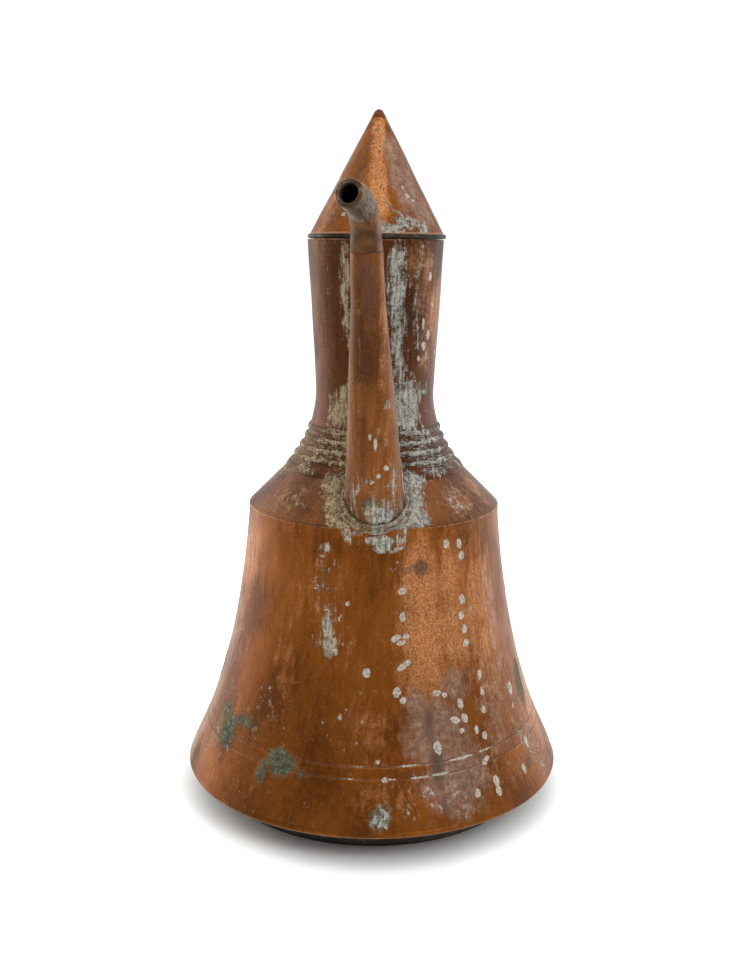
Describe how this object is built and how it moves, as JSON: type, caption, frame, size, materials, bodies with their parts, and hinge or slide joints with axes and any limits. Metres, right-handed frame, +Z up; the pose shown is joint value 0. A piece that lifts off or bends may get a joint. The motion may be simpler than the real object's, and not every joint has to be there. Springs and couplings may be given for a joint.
{
  "type": "copper ewer",
  "caption": "Covered copper ewer with a bell-shaped body, tall neck, hinged cone lid, long front spout and strap handle, for carrying and pouring water.",
  "frame": {"origin": "on the ground, under the middle of the round base", "axes": "+Z up along the body's axis; the spout points along -Y, the handle along +Y"},
  "size_m": [0.26, 0.26, 0.4588],
  "materials": {
    "skirt_copper": "old patinated copper, satin, with verdigris spots and bright worn patches",
    "base_copper": "dark sooty copper, satin",
    "shoulder_copper": "smooth brown copper, satin",
    "neck_copper": "red-brown copper with grey limescale streaks",
    "spout_copper": "orange-brown copper, satin",
    "spout_collar": "soldered collar, grey and dull",
    "nozzle_tin": "grey tinned metal, dull",
    "solder": "old solder and limescale, rough",
    "handle_copper": "brown copper, satin, worn bright where it is held",
    "hinge_metal": "dark brown copper alloy, satin",
    "rivet_copper": "hammered copper, satin",
    "lid_copper": "brown copper with gold and mauve tarnish, satin",
    "lid_inner_tin": "tinned inside face, dull grey"
  },
  "bodies": {
    "vessel": {"base_pan": "base_copper", "skirt": "skirt_copper", "shoulder": "shoulder_copper", "neck": "neck_copper", "neck_solder": "solder", "spout_flange": "spout_collar", "spout_solder": "solder", "spout_tube": "spout_copper", "spout_nozzle": "nozzle_tin", "spout_lip": "nozzle_tin", "handle_upper_plate": "handle_copper", "handle_lower_plate": "handle_copper", "handle": "handle_copper", "body_rivets": "rivet_copper", "hinge_bracket": "hinge_metal", "hinge_pin": "hinge_metal"},
    "lid": {"lid_cone": "lid_copper", "lid_rim": "lid_copper", "lid_collar": "lid_inner_tin", "lid_tip": "nozzle_tin", "lid_strap": "hinge_metal", "lid_rivets": "rivet_copper"}
  },
  "joints": [
    {"name": "lid_hinge", "type": "hinge", "parent": "vessel", "child": "lid", "pos_m": [0, 0.0525, 0.382], "axis": [-1, 0, 0], "range_deg": [0, 105]}
  ]
}
